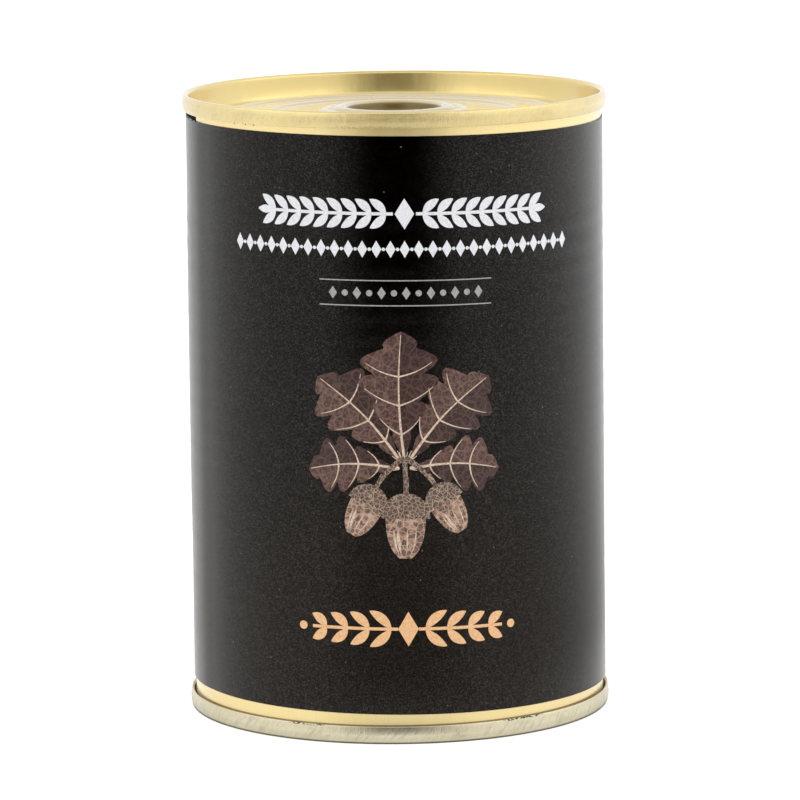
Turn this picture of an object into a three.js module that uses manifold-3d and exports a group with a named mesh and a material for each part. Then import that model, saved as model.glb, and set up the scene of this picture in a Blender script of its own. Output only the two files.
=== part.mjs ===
// A sealed food tin of whole black truffles: a beaded tinplate body with a double-seamed end at the
// top and the bottom, a paper label wrapped round it, and truffles in their juice inside.
//
// Millimetres, +Z up. The origin is the centre of the circle that the tin stands on. The front of the
// tin faces -Y, and an azimuth is counted from there towards +X.
import * as THREE from "three";
import Module from "manifold-3d";
import { mergeVertices } from "three/addons/utils/BufferGeometryUtils.js";

const wasm = await Module();
wasm.setup();

// ---- Driving dimensions ----
const FACETS = 28; // of everything that is turned round the axis
const FACET_ANGLE = (2 * Math.PI) / FACETS;

const HEIGHT = 111.8; // over both seams
const SEAM_RADIUS = 38.2; // outside of both seams
const BODY_RADIUS = 37.2; // outside of the plain body wall
const PLATE = 0.21; // tinplate, in the body and in both ends
const LAYER_GAP = 0.06; // between neighbouring layers in a seam and under the label
const TOP_SEAM_LENGTH = 2.9;
const BOTTOM_SEAM_LENGTH = 3.2;

const BEAD_COUNT = 17; // rolled ribs round the body
const BEAD_PITCH = 4.06;
const BEAD_DEPTH = 0.45;
const BEADS_MIDDLE = 58.1; // height of the middle rib

const PAPER = 0.12;
const LABEL_BOTTOM = 5.25;
const LABEL_TOP = 107.5;
const LABEL_SKEW = 0.011; // the label lies this much higher per millimetre towards -X
const LABEL_START = -5.5 * FACET_ANGLE; // azimuth of its inner end, in the middle of a facet
const LABEL_LAP = 2 * FACET_ANGLE; // the outer end reaches this far past the inner one
const LABEL_RISE = 0.65; // how far the inner end's corner stands up above the rest of the top edge
const LABEL_RISE_ANGLE = THREE.MathUtils.degToRad(36); // the turn over which that corner slopes down

const TRUFFLE_LAYERS = 3;
const TRUFFLES_PER_LAYER = 3; // the layers are turned by half a place, so each truffle sits between two
const TRUFFLE_RADIUS = 16.5;
const TRUFFLE_HALF_HEIGHT = 18.2;
const TRUFFLE_LUMPS = 0.7; // how far the lobes of its skin sink and rise
const TRUFFLE_WARTS = 0.3;
const RING_RADIUS = 18.5; // from the tin's axis to the middle of each truffle
const LAYER_RISE = 28.4; // from one layer to the next
const TRUFFLE_TURN = 0.7; // from one truffle's lumps to the next one's

const JUICE_LEVEL = 93;
const JUICE_CLEARANCE = 0.3; // to the tinplate
const POCKET_GROWTH = 0.9; // the juice stands this far off each truffle

const TRUFFLE_DETAIL = 3;
const POCKET_DETAIL = 2;

// Depths of the ends' plate below the seam's crest, to the middle of the plate.
const PANEL_DEPTH = 4.05;
const COUNTERSINK_DEPTH = 4.55;

// ---- Derived dimensions ----
const BODY_WALL = BODY_RADIUS - PLATE / 2; // middle of the body's plate
const SEAM_PITCH = PLATE + LAYER_GAP; // from one layer of a seam to the next
const COVER_WALL = SEAM_RADIUS - PLATE / 2; // the five layers of a seam, from the outside in
const BODY_HOOK = COVER_WALL - SEAM_PITCH;
const COVER_HOOK = BODY_HOOK - SEAM_PITCH;
const BODY_NECK = COVER_HOOK - SEAM_PITCH;
const CHUCK_WALL = BODY_NECK - SEAM_PITCH;
const LABEL_RADIUS = BODY_RADIUS + LAYER_GAP; // inside of the label's first layer
const TRUFFLE_FLOOR = PANEL_DEPTH + PLATE / 2; // the lowest truffles lie on the bottom end

// ---- Materials ----
const lacqueredPlate = new THREE.MeshStandardMaterial({ color: 0xd9be72, roughness: 0.32, metalness: 0.9 });
const plainPlate = new THREE.MeshStandardMaterial({ color: 0xb9b6a6, roughness: 0.35, metalness: 0.9 });
const blackPaper = new THREE.MeshStandardMaterial({ color: 0x25221f, roughness: 0.55, metalness: 0 });
const compound = new THREE.MeshStandardMaterial({ color: 0x6b6560, roughness: 0.8, metalness: 0 });
const truffleSkin = new THREE.MeshStandardMaterial({ color: 0x3a2a26, roughness: 0.9, metalness: 0 });
const juiceLiquid = new THREE.MeshStandardMaterial({ color: 0x5b3a22, roughness: 0.2, metalness: 0 });

// ---- Sheet metal helpers ----

// Points of a bent sheet's two faces, half a plate to either side of its middle line of [radius, height].
function sheetFaces(middle, thickness) {
  const line = middle.map(([radius, height]) => new THREE.Vector2(radius, height));
  const sides = [[], []];
  line.forEach((point, i) => {
    const before = line[Math.max(i - 1, 0)];
    const after = line[Math.min(i + 1, line.length - 1)];
    const into = (i > 0 ? point.clone().sub(before) : after.clone().sub(point)).normalize();
    const out = (i < line.length - 1 ? after.clone().sub(point) : into.clone()).normalize();
    const bisector = into.clone().add(out).normalize();
    const normal = new THREE.Vector2(-bisector.y, bisector.x);
    const reach = thickness / 2 / Math.max(normal.dot(new THREE.Vector2(-into.y, into.x)), 0.5);
    sides[0].push(point.clone().addScaledVector(normal, reach));
    sides[1].push(point.clone().addScaledVector(normal, -reach));
  });
  return sides;
}

// A solid of revolution round Z, from an outline of [radius, height] points whose inside is on the left.
function revolve(outline) {
  const geometry = new THREE.LatheGeometry(outline, FACETS);
  geometry.rotateX(Math.PI / 2);
  return geometry;
}

// A disc of sheet whose middle line starts on the axis and whose last point is its free edge.
function spunSheet(middle, thickness) {
  const [left, right] = sheetFaces(middle, thickness);
  left[0].x = 0;
  right[0].x = 0;
  return revolve([...right, ...left.reverse()]);
}

// A tube of sheet, open at both ends.
function spunTube(middle, thickness) {
  const [left, right] = sheetFaces(middle, thickness);
  return revolve([...right, ...left.reverse(), right[0].clone()]);
}

// A ring whose section is a rectangle.
function ring(inside, outside, low, high) {
  const corners = [
    [inside, low],
    [outside, low],
    [outside, high],
    [inside, high],
    [inside, low],
  ];
  return revolve(corners.map(([radius, height]) => new THREE.Vector2(radius, height)));
}

function named(name, geometry, material) {
  const mesh = new THREE.Mesh(geometry, material);
  mesh.name = name;
  return mesh;
}

// ---- The seams: distances are counted down from the seam's crest ----
const CREST_ROUND = 0.35; // the crest's rounded shoulders
const HOOK_ROOM = 0.35; // between the end of one hook and the bend of the other
const NECK_LENGTH = 0.3; // of the body's step out to the seam

// The end's own plate in a seam, from the top of the chuck wall over the crest to the tip of its hook.
function coverSeam(length) {
  return [
    [CHUCK_WALL, PLATE / 2 + CREST_ROUND],
    [CHUCK_WALL + 0.6 * CREST_ROUND, PLATE / 2],
    [COVER_WALL - 0.6 * CREST_ROUND, PLATE / 2],
    [COVER_WALL, PLATE / 2 + CREST_ROUND],
    [COVER_WALL, length - PLATE / 2 - 0.2],
    [BODY_HOOK + 0.1, length - PLATE / 2],
    [BODY_HOOK - 0.1, length - PLATE / 2],
    [COVER_HOOK, length - PLATE / 2 - 0.2],
    [COVER_HOOK, 3 * PLATE + 2 * LAYER_GAP + HOOK_ROOM],
  ];
}

// The body's plate in a seam, from below the seam up the neck, over and down to the tip of its hook.
function bodySeam(length) {
  const bend = PLATE * 1.5 + 2 * LAYER_GAP;
  return [
    [BODY_WALL, length + NECK_LENGTH],
    [BODY_NECK, length],
    [BODY_NECK, bend + 0.15],
    [BODY_NECK + 0.12, bend],
    [BODY_HOOK - 0.12, bend],
    [BODY_HOOK, bend + 0.15],
    [BODY_HOOK, length - 1.5 * PLATE - HOOK_ROOM],
  ];
}

// Turns [radius, distance from the crest] into [radius, height] for the top or the bottom seam.
const atTop = ([radius, down]) => [radius, HEIGHT - down];
const atBottom = ([radius, up]) => [radius, up];

// ---- The ends: [radius, distance from the crest] along the middle of the plate ----

// The pressed centre of the top end: a sunk well, the raised ring round it and that ring's shoulder.
const CENTRE_WELL = [
  [0, 4.55],
  [7.2, 4.55],
  [7.9, 4.3],
  [8.3, 3.2],
  [8.9, 2.82],
  [10.2, 2.76],
  [11, 3.05],
  [11.4, 3.4],
  [11.9, 3.22],
  [13, 3.22],
  [13.6, 3.85],
  [14.4, PANEL_DEPTH],
];

// The expansion rings, the countersink and the chuck wall, which both ends have.
const EXPANSION_RINGS = [
  [21.4, PANEL_DEPTH],
  [22.4, 3.6],
  [23.8, 3.6],
  [24.8, PANEL_DEPTH],
  [28.4, PANEL_DEPTH],
  [29.3, 3.65],
  [30.6, 3.65],
  [31.5, PANEL_DEPTH + 0.1],
  [33.4, PANEL_DEPTH + 0.2],
  [34.2, COUNTERSINK_DEPTH],
  [35.3, COUNTERSINK_DEPTH],
  [36.1, 4.15],
  [36.66, 3.15],
];

function topEnd() {
  const middle = [...CENTRE_WELL, ...EXPANSION_RINGS, ...coverSeam(TOP_SEAM_LENGTH)].map(atTop);
  return named("top_end", spunSheet(middle, PLATE), lacqueredPlate);
}

function bottomEnd() {
  const flatCentre = [[0, PANEL_DEPTH]];
  const middle = [...flatCentre, ...EXPANSION_RINGS, ...coverSeam(BOTTOM_SEAM_LENGTH)].map(atBottom);
  return named("bottom_end", spunSheet(middle, PLATE), plainPlate);
}

// ---- The body ----
function body() {
  const firstBead = BEADS_MIDDLE - (BEAD_PITCH * (BEAD_COUNT - 1)) / 2;
  const beads = [[BODY_WALL, firstBead - BEAD_PITCH / 2]];
  for (let i = 0; i < BEAD_COUNT; i++) {
    const valley = firstBead + i * BEAD_PITCH;
    beads.push([BODY_WALL - BEAD_DEPTH, valley]);
    beads.push([BODY_WALL, valley + BEAD_PITCH / 2]);
  }
  const foot = bodySeam(BOTTOM_SEAM_LENGTH).map(atBottom).reverse();
  const head = bodySeam(TOP_SEAM_LENGTH).map(atTop);
  return named("can_body", spunTube([...foot, ...beads, ...head], PLATE), lacqueredPlate);
}

// ---- The sealing compound, in the gap between each body hook's bend and the tip of the end's hook ----
function seamCompound(name, place) {
  const bend = PLATE * 2 + 2 * LAYER_GAP; // underside of the body hook's bend
  const tip = bend + PLATE + HOOK_ROOM - 2 * LAYER_GAP;
  const [, low] = place([0, tip - 3 * LAYER_GAP]);
  const [, high] = place([0, bend + LAYER_GAP]);
  const geometry = ring(COVER_HOOK - 0.08, COVER_HOOK + 0.08, Math.min(low, high), Math.max(low, high));
  return named(name, geometry, compound);
}

// ---- The label: a strip of paper wound once round the body, its outer end lapped over its inner end ----
const CORNERS_PER_FOLD = 4; // inside and outside, each at the bottom and the top

function label() {
  const fullTurn = 2 * Math.PI;
  const length = fullTurn + LABEL_LAP;
  const lift = PAPER + LAYER_GAP; // the outer end lies on the inner one
  const climbEnd = fullTurn - FACET_ANGLE / 2;
  // Both ends lie in the middle of a facet, and every fold between them on a corner.
  const folds = [0];
  for (let wound = FACET_ANGLE / 2; wound < length; wound += FACET_ANGLE) folds.push(wound);
  folds.push(length);
  const positions = [];
  for (const wound of folds) {
    const azimuth = LABEL_START - wound;
    const facet = wound === 0 || wound === length ? Math.cos(FACET_ANGLE / 2) : 1;
    const climb = THREE.MathUtils.smoothstep(wound, climbEnd - FACET_ANGLE, climbEnd);
    const rise = LABEL_RISE * (1 - THREE.MathUtils.smoothstep(wound, 0, LABEL_RISE_ANGLE));
    const inside = LABEL_RADIUS + lift * climb;
    for (const radius of [inside * facet, (inside + PAPER) * facet]) {
      const x = radius * Math.sin(azimuth);
      const y = -radius * Math.cos(azimuth);
      const slope = LABEL_SKEW * x; // the wrap is slightly out of square
      positions.push(x, y, LABEL_BOTTOM - slope, x, y, LABEL_TOP - slope + rise);
    }
  }
  const last = (folds.length - 1) * CORNERS_PER_FOLD;
  const quads = [[2, 0, 1, 3], [last + 2, last + 3, last + 1, last]]; // the cut edges at both ends
  for (let a = 0; a < last; a += CORNERS_PER_FOLD) {
    const b = a + CORNERS_PER_FOLD;
    quads.push([a + 2, a + 3, b + 3, b + 2], [a, b, b + 1, a + 1]); // outside and inside
    quads.push([a + 3, a + 1, b + 1, b + 3], [a + 2, b + 2, b, a]); // top and bottom
  }
  const geometry = new THREE.BufferGeometry();
  geometry.setAttribute("position", new THREE.Float32BufferAttribute(positions, 3));
  geometry.setIndex(quads.flatMap(([p, q, r, s]) => [p, q, r, p, r, s]));
  return named("paper_label", geometry, blackPaper);
}

// ---- The contents ----

// Where each truffle lies and how it is turned.
function trufflePlaces() {
  const places = [];
  for (let layer = 0; layer < TRUFFLE_LAYERS; layer++) {
    for (let k = 0; k < TRUFFLES_PER_LAYER; k++) {
      const azimuth = ((k + layer / 2) / TRUFFLES_PER_LAYER) * 2 * Math.PI;
      const centre = new THREE.Vector3(
        RING_RADIUS * Math.cos(azimuth),
        RING_RADIUS * Math.sin(azimuth),
        TRUFFLE_FLOOR + TRUFFLE_HALF_HEIGHT + layer * LAYER_RISE,
      );
      places.push({ name: `truffle_${places.length + 1}`, centre, turn: TRUFFLE_TURN * places.length });
    }
  }
  return places;
}

// A lumpy, warty ball: an icosphere whose skin is raised and sunk by smooth waves.
// growth widens it, for the pocket that it leaves in the juice.
function truffleGeometry({ centre, turn }, detail, growth) {
  const geometry = new THREE.IcosahedronGeometry(1, detail);
  const position = geometry.attributes.position;
  const direction = new THREE.Vector3();
  for (let i = 0; i < position.count; i++) {
    direction.fromBufferAttribute(position, i).normalize();
    const { x, y, z } = direction;
    const lobes = Math.sin(3 * x + turn) * Math.sin(2.6 * y - turn) * Math.cos(2.8 * z + 2 * turn);
    const warts = Math.sin(17 * x + turn) * Math.sin(19 * y) * Math.sin(18 * z - turn);
    const skin = growth > 0 ? growth : TRUFFLE_WARTS * (warts - 1);
    const raised = skin + TRUFFLE_LUMPS * (lobes - 1);
    position.setXYZ(
      i,
      centre.x + x * (TRUFFLE_RADIUS + raised),
      centre.y + y * (TRUFFLE_RADIUS + raised),
      centre.z + z * (TRUFFLE_HALF_HEIGHT + raised),
    );
  }
  return geometry;
}

// A three.js geometry as a manifold-3d solid, and back.
function toSolid(geometry) {
  const bare = geometry.index ? geometry.toNonIndexed() : geometry.clone();
  bare.deleteAttribute("normal");
  bare.deleteAttribute("uv");
  const merged = mergeVertices(bare, 1e-4);
  return new wasm.Manifold(
    new wasm.Mesh({
      numProp: 3,
      vertProperties: merged.attributes.position.array,
      triVerts: new Uint32Array(merged.index.array),
    }),
  );
}

function toGeometry(solid) {
  const mesh = solid.getMesh();
  const geometry = new THREE.BufferGeometry();
  geometry.setAttribute("position", new THREE.BufferAttribute(mesh.vertProperties, 3));
  geometry.setIndex(new THREE.BufferAttribute(mesh.triVerts, 1));
  geometry.computeVertexNormals();
  return geometry;
}

// The juice fills the tin to its level, round the truffles. The highest truffles stand out of it, and
// the truffles touch, so their pockets run into each other.
function juice(places) {
  const radius = BODY_WALL - PLATE / 2 - BEAD_DEPTH - JUICE_CLEARANCE;
  const floor = COUNTERSINK_DEPTH + PLATE / 2 + JUICE_CLEARANCE;
  const outline = [
    [0, floor],
    [radius - 2.5, floor],
    [radius, floor + 2.5],
    [radius, JUICE_LEVEL],
    [0, JUICE_LEVEL],
  ];
  let solid = toSolid(revolve(outline.map(([r, height]) => new THREE.Vector2(r, height))));
  for (const place of places) {
    solid = solid.subtract(toSolid(truffleGeometry(place, POCKET_DETAIL, POCKET_GROWTH)));
  }
  return named("truffle_juice", toGeometry(solid), juiceLiquid);
}

// ---- The tin ----
const tin = new THREE.Group();
tin.name = "truffle_tin";
tin.add(body(), topEnd(), bottomEnd(), label());
tin.add(seamCompound("top_seam_compound", atTop), seamCompound("bottom_seam_compound", atBottom));
const places = trufflePlaces();
for (const place of places) {
  tin.add(named(place.name, truffleGeometry(place, TRUFFLE_DETAIL, 0), truffleSkin));
}
tin.add(juice(places));

export default tin;
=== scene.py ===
"""Dresses the sealed food tin: lacquered and plain tinplate, a wrapped black paper label and its print.

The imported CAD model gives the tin's sizes and its place. Every visible piece is built here as a finer
mesh round the same axis. Sizes are in millimetres until a mesh is made, which is in metres.
"""
import logging
import math
from dataclasses import dataclass, field
from enum import Enum
from functools import partial, reduce
from typing import Iterable, Sequence, Union

import bpy
import numpy as np
from mathutils import Matrix, Vector


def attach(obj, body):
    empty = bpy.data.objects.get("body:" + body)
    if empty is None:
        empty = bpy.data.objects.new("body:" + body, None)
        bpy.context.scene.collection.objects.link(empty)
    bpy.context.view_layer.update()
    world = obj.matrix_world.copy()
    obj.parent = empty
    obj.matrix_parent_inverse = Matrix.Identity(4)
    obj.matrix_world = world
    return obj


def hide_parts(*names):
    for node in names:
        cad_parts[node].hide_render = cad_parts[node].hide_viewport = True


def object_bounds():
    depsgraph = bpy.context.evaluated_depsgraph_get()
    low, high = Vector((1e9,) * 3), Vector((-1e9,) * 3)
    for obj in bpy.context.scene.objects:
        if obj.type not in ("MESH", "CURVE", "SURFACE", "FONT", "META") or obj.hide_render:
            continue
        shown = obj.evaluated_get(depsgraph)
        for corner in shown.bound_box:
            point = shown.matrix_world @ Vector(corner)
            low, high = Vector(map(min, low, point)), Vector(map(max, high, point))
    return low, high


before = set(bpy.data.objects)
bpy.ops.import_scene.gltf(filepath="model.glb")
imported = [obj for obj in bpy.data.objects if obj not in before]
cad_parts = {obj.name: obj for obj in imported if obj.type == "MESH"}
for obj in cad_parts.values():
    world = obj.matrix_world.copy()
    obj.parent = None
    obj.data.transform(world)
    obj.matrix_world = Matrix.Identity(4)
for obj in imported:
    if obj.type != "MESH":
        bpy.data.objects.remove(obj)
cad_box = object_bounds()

LOG = logging.getLogger("tin")
MM = 0.001
TURN = 2 * math.pi
NO_RADIUS = 1e-6  # what is nearer to the axis lies on it
RULE_STEP = 0.8  # length of the pieces that a printed line is made of
POINTED = 0.004  # half of the width that a printed corner keeps

Point = tuple[float, float]
Step = tuple[float, float, float]
Face = tuple[int, ...]
Colour = tuple[float, float, float, float]
Socket = bpy.types.NodeSocket
Value = Union[float, Socket]
WHITE: Colour = (1, 1, 1, 1)
BLACK: Colour = (0, 0, 0, 1)


class Slot(Enum):
    """The record's material slots."""

    GOLD = "gold_lacquered_tinplate"
    TINPLATE = "plain_tinplate"
    PAPER = "black_label_paper"
    COMPOUND = "sealing_compound"
    TRUFFLE = "truffle_flesh"
    JUICE = "truffle_juice"


def srgb(red: int, green: int, blue: int) -> Colour:
    """A screen colour of 0 to 255 as the linear colour that a shader takes."""
    linear = [((c / 255 + 0.055) / 1.055) ** 2.4 if c > 10 else c / 255 / 12.92 for c in (red, green, blue)]
    return (*linear, 1.0)


def arc(start: float, end: float) -> Point:
    """Two angles in degrees, as radians."""
    return math.radians(start), math.radians(end)


def smoothstep(low: float, high: float, value: np.ndarray) -> np.ndarray:
    """0 below low, 1 above high, and a smooth rise between them."""
    t = np.clip((value - low) / (high - low), 0, 1)
    return t * t * (3 - 2 * t)


# ---- Meshes ----


def softened(points: Sequence[Point], rounds: int = 3) -> np.ndarray:
    """Rounds off the corners of an open line by cutting them, again and again.

    Args:
        points: the line's control points.
        rounds: how often each corner is cut.

    Returns:
        The smooth line's points, with the first and the last unchanged.
    """
    line = np.array(points, float)
    for _ in range(rounds):
        start, end = line[:-1], line[1:]
        cut = np.stack([0.75 * start + 0.25 * end, 0.25 * start + 0.75 * end], 1).reshape(-1, 2)
        line = np.concatenate([line[:1], cut[1:-1], line[-1:]])
    return line


def thinned(line: np.ndarray, bend: float = 4, reach: float = 2.5) -> np.ndarray:
    """Drops the points of a smooth line that its shape doesn't need.

    Args:
        line: its points.
        bend: the most that the line may turn from one kept point to the next, in degrees.
        reach: the furthest that they may be apart.

    Returns:
        The points that are left.
    """
    kept = [line[0]]
    heading = line[1] - line[0]
    for here, after in zip(line[1:], line[2:]):
        step = after - here
        turn = abs(math.atan2(heading[0] * step[1] - heading[1] * step[0], heading @ step))
        if turn > math.radians(bend) or np.linalg.norm(here - kept[-1]) > reach:
            kept.append(here)
            heading = step
    kept.append(line[-1])
    return np.array(kept)


def both_faces(line: np.ndarray, thickness: float) -> np.ndarray:
    """The closed outline of a sheet, from the line along its middle.

    Args:
        line: [radius, height] points along the middle of the sheet.
        thickness: of the sheet.

    Returns:
        The outline's points: out along the right face and back along the left one.
    """
    steps = np.diff(line, axis=0)
    steps /= np.linalg.norm(steps, axis=1)[:, None]
    along = np.concatenate([steps[:1], steps[:-1] + steps[1:], steps[-1:]])
    along /= np.linalg.norm(along, axis=1)[:, None]
    normal = np.stack([-along[:, 1], along[:, 0]], 1) * thickness / 2
    return np.concatenate([line - normal, (line + normal)[::-1]])


def mesh_object(
    name: str, points: np.ndarray, faces: Iterable[Sequence[int]], sharp: float = 35
) -> bpy.types.Object:
    """Makes a smooth-shaded mesh object.

    Args:
        name: the piece's name.
        points: its vertices, in millimetres.
        faces: its faces, as vertex numbers.
        sharp: edges that bend by more than this many degrees stay sharp.

    Returns:
        The new object, at the origin.
    """
    mesh = bpy.data.meshes.new(name)
    mesh.from_pydata((points * MM).tolist(), [], [tuple(face) for face in faces])
    mesh.validate()
    mesh.shade_smooth()
    mesh.set_sharp_from_angle(angle=math.radians(sharp))
    piece = bpy.data.objects.new(name, mesh)
    bpy.context.scene.collection.objects.link(piece)
    return piece


def revolved(name: str, outline: np.ndarray, segments: int) -> bpy.types.Object:
    """Turns a closed outline of [radius, height] points round the tin's axis.

    Args:
        name: the piece's name.
        outline: its section. Points on the axis become one vertex each.
        segments: how many steps one turn takes.

    Returns:
        The solid of revolution.
    """
    angles = np.arange(segments) * TURN / segments
    points: list[np.ndarray] = []
    rings: list[np.ndarray] = []
    count = 0
    for radius, height in outline:
        if radius < NO_RADIUS:
            points.append(np.array([[0, 0, height]]))
            rings.append(np.full(segments, count))
            count += 1
            continue
        circle = [radius * np.sin(angles), -radius * np.cos(angles), np.full(segments, height)]
        points.append(np.stack(circle, 1))
        rings.append(count + np.arange(segments))
        count += segments
    faces = []
    for here, there in zip(rings, rings[1:] + rings[:1]):
        if here[0] == here[1] and there[0] == there[1]:
            continue
        for k in range(segments):
            after = (k + 1) % segments
            corners = [here[k], here[after], there[after], there[k]]
            faces.append(list(dict.fromkeys(int(corner) for corner in corners)))
    return mesh_object(name, np.concatenate(points), faces)


def grid_faces(rows: int, columns: int, first: int = 0, flip: bool = False) -> list[Face]:
    """The quads of a grid of vertices, which are numbered row by row.

    Args:
        rows: how many there are.
        columns: how many there are.
        first: the first vertex's number.
        flip: whether the faces look the other way.

    Returns:
        The faces, as vertex numbers.
    """
    faces = []
    for i in range(rows - 1):
        for j in range(columns - 1):
            a = first + i * columns + j
            quad = (a, a + 1, a + columns + 1, a + columns)
            faces.append(quad[::-1] if flip else quad)
    return faces


def slab(outer: np.ndarray, inner: np.ndarray) -> tuple[np.ndarray, list[Face]]:
    """A closed sheet between two grids of points that face each other.

    Args:
        outer: rows by columns by 3, seen from outside with the columns to the right.
        inner: the same, behind it.

    Returns:
        Its vertices and its faces.
    """
    rows, columns = outer.shape[:2]
    size = rows * columns
    faces = grid_faces(rows, columns) + grid_faces(rows, columns, size, True)
    top = (rows - 1) * columns
    for j in range(columns - 1):
        faces.append((j + 1, j, size + j, size + j + 1))
        faces.append((top + j, top + j + 1, size + top + j + 1, size + top + j))
    for i in range(rows - 1):
        low, high = i * columns, (i + 1) * columns
        faces.append((low, high, size + high, size + low))
        low, high = low + columns - 1, high + columns - 1
        faces.append((high, low, size + low, size + high))
    return np.concatenate([outer.reshape(-1, 3), inner.reshape(-1, 3)]), faces


# ---- Node graphs ----


@dataclass(frozen=True)
class Cloud:
    """A noise texture, and the span of its values over which a mark fades in."""

    scale: float
    detail: float
    low: float
    high: float


class Nodes:
    """A node tree, with short ways to add to it."""

    def __init__(self, tree: bpy.types.NodeTree) -> None:
        """Keeps the tree that the nodes go into."""
        self.tree = tree

    def feed(self, socket: Socket, value: object) -> None:
        """Links or sets one input.

        Args:
            socket: the input.
            value: another node's output, or a plain value.
        """
        if isinstance(value, Socket):
            self.tree.links.new(value, socket)
        else:
            socket.default_value = value

    def add(self, kind: str, inputs: dict[Union[str, int], object], **settings: object) -> bpy.types.Node:
        """Adds a node.

        Args:
            kind: the node's type.
            inputs: a value or a socket for each input, by name or number.
            settings: the node's own properties.

        Returns:
            The new node.
        """
        node = self.tree.nodes.new(kind)
        for key, value in settings.items():
            setattr(node, key, value)
        for key, value in inputs.items():
            self.feed(node.inputs[key], value)
        return node

    def math(self, operation: str, *values: Value) -> Socket:
        """One step of arithmetic."""
        return self.add("ShaderNodeMath", dict(enumerate(values)), operation=operation).outputs[0]

    def product(self, *values: Value) -> Value:
        """The values, multiplied one after the other."""
        return reduce(partial(self.math, "MULTIPLY"), values)

    def total(self, *values: Value) -> Value:
        """The values, added one after the other."""
        return reduce(partial(self.math, "ADD"), values)

    def ramp(self, value: Value, low: float, high: float, start: float = 0, end: float = 1) -> Socket:
        """Start below low, end above high, and a smooth change between them."""
        inputs = {"Value": value, "From Min": low, "From Max": high, "To Min": start, "To Max": end}
        return self.add("ShaderNodeMapRange", inputs, interpolation_type="SMOOTHSTEP").outputs[0]

    def ramp_mm(self, value: Value, low: float, high: float, start: float = 0, end: float = 1) -> Socket:
        """The same for a length, with its limits in millimetres."""
        return self.ramp(value, low * MM, high * MM, start, end)

    def hump(self, value: Value, rise: Point, fall: Point, height: float = 1) -> Value:
        """0, then a smooth rise to a height over one span and a smooth fall over another."""
        return self.product(self.ramp(value, *rise, 0, height), self.ramp(value, *fall, 1, 0))

    def between(self, value: Value, low: float, high: float, soft: float) -> Value:
        """1 between low and high and 0 outside, with edges that soft."""
        return self.hump(value, (low - soft, low + soft), (high - soft, high + soft))

    def between_mm(self, value: Value, low: float, high: float, soft: float) -> Value:
        """The same for a length, with all three in millimetres."""
        return self.between(value, low * MM, high * MM, soft * MM)

    def vector(self, operation: str, *values: object) -> bpy.types.Node:
        """One step of arithmetic with vectors."""
        return self.add("ShaderNodeVectorMath", dict(enumerate(values)), operation=operation)


class Graph(Nodes):
    """A material's node tree, with the tin's own coordinates and textures."""

    def __init__(self, name: str) -> None:
        """Starts a material that holds only its principled shader.

        Args:
            name: the material's name.
        """
        self.material = bpy.data.materials.new(name)
        self.material.use_nodes = True
        super().__init__(self.material.node_tree)
        self.shader = next(n for n in self.tree.nodes if n.type == "BSDF_PRINCIPLED")
        self.place = self.tree.nodes.new("ShaderNodeTexCoord").outputs["Object"]
        apart = self.add("ShaderNodeSeparateXYZ", {"Vector": self.place})
        self.x, self.y, self.z = (apart.outputs[axis] for axis in "XYZ")

    def radius(self) -> Socket:
        """The distance from the tin's axis, in metres."""
        return self.math("SQRT", self.total(self.product(self.x, self.x), self.product(self.y, self.y)))

    def azimuth(self) -> Socket:
        """The angle round the tin, from the front towards +X."""
        return self.math("ARCTAN2", self.x, self.product(self.y, -1.0))

    def unrolled(self, radius: float) -> Socket:
        """The wall of that radius laid flat: metres round it from the front, then metres up."""
        around = self.product(self.azimuth(), radius)
        return self.add("ShaderNodeCombineXYZ", {"X": around, "Y": self.z}).outputs[0]

    def stretched(self, x: float, y: float, z: float) -> Socket:
        """The place in the tin, scaled along each axis."""
        return self.vector("MULTIPLY", self.place, (x, y, z)).outputs[0]

    def noise(self, vector: Value, scale: float, detail: float = 2, distortion: float = 0) -> Socket:
        """A cloud of values from 0 to 1."""
        inputs = {"Vector": vector, "Scale": scale, "Detail": detail, "Distortion": distortion}
        return self.add("ShaderNodeTexNoise", inputs).outputs[0]

    def cloud(self, vector: Value, cloud: Cloud, start: float = 0, end: float = 1) -> Socket:
        """A cloud's values, spread from start to end over the span of it that counts."""
        noise = self.noise(vector, cloud.scale, cloud.detail)
        return self.ramp(noise, cloud.low, cloud.high, start, end)

    def cells(self, scale: float, feature: str = "F1") -> Socket:
        """The distance to the nearest cell's middle, or to its edge."""
        inputs = {"Vector": self.place, "Scale": scale}
        return self.add("ShaderNodeTexVoronoi", inputs, feature=feature).outputs["Distance"]

    def flecks(self, scale: float) -> Socket:
        """A random value from 0 to 1 in each small cell of the stuff."""
        cells = self.add("ShaderNodeTexVoronoi", {"Vector": self.place, "Scale": scale})
        return self.add("ShaderNodeSeparateXYZ", {"Vector": cells.outputs["Color"]}).outputs[0]

    def blend(self, factor: Value, first: object, second: object) -> Socket:
        """Two colours, mixed."""
        return self.add("ShaderNodeMix", {0: factor, 6: first, 7: second}, data_type="RGBA").outputs[2]

    def mix(self, factor: Value, first: Value, second: Value) -> Socket:
        """Two numbers, mixed."""
        return self.add("ShaderNodeMix", {0: factor, 2: first, 3: second}).outputs[0]

    def bump(self, height: Value, strength: float, depth: float, below: Union[Socket, None] = None) -> Socket:
        """A bumped normal.

        Args:
            height: from 0 to 1.
            strength: how much of it shows.
            depth: in millimetres, for a height of 1.
            below: a normal that this one is added to.

        Returns:
            The normal.
        """
        inputs: dict[Union[str, int], object] = {"Height": height, "Strength": strength}
        inputs["Distance"] = depth * MM
        if below is not None:
            inputs["Normal"] = below
        return self.add("ShaderNodeBump", inputs).outputs[0]

    def finish(self, **sockets: object) -> bpy.types.Material:
        """Feeds the principled shader.

        Args:
            sockets: its inputs' values, by name in lower case with underscores.

        Returns:
            The finished material.
        """
        for key, value in sockets.items():
            self.feed(self.shader.inputs[key.replace("_", " ").title().replace("Ior", "IOR")], value)
        return self.material


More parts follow.
